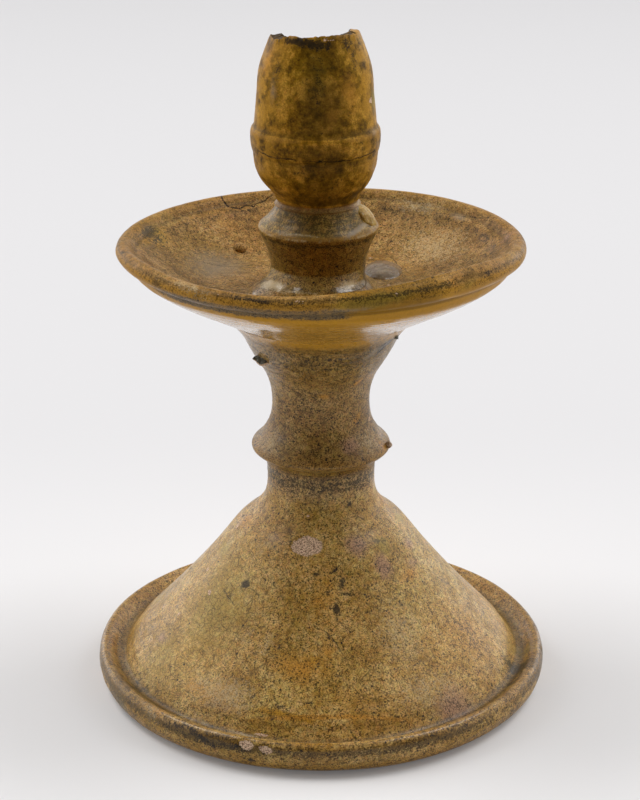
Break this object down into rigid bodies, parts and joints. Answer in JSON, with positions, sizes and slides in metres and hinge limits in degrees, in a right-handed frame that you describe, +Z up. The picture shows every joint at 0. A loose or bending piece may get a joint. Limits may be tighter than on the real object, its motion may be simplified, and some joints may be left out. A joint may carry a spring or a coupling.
{
  "type": "ceramic candlestick",
  "caption": "Thrown earthenware candlestick: hollow cone foot with gutter rim, knopped stem, wide drip pan, collared upper stem and an egg-shaped candle socket with a broken mouth.",
  "frame": {"origin": "middle of the foot's resting ring, on the surface that the candlestick stands on", "axes": "+Z up, along the candlestick's axis; the view of the picture looks along +Y, with +X to its right"},
  "size_m": [0.16, 0.16, 0.2314],
  "materials": {
    "foot_glaze": "amber lead glaze, crazed and speckled",
    "stem_glaze": "amber lead glaze, crazed and speckled",
    "pan_glaze": "amber lead glaze, worn grey-brown inside",
    "upper_glaze": "dark speckled lead glaze",
    "socket_glaze": "amber and olive lead glaze, sooty at the mouth",
    "slip": "fired slip, glazed over outside",
    "kiln_grit": "rough fired grit",
    "glaze_drop": "glossy grey-olive glaze"
  },
  "bodies": {
    "root": {"foot": "foot_glaze", "foot_slip": "slip", "stem": "stem_glaze", "stem_slip": "slip", "drip_pan": "pan_glaze", "pan_slip": "slip", "upper_stem": "upper_glaze", "socket_slip": "slip", "candle_socket": "socket_glaze", "sherd_left": "kiln_grit", "sherd_right": "kiln_grit", "grit_bead": "kiln_grit", "collar_drop": "glaze_drop", "pan_drop": "glaze_drop", "pan_pebble": "kiln_grit"}
  },
  "joints": []
}
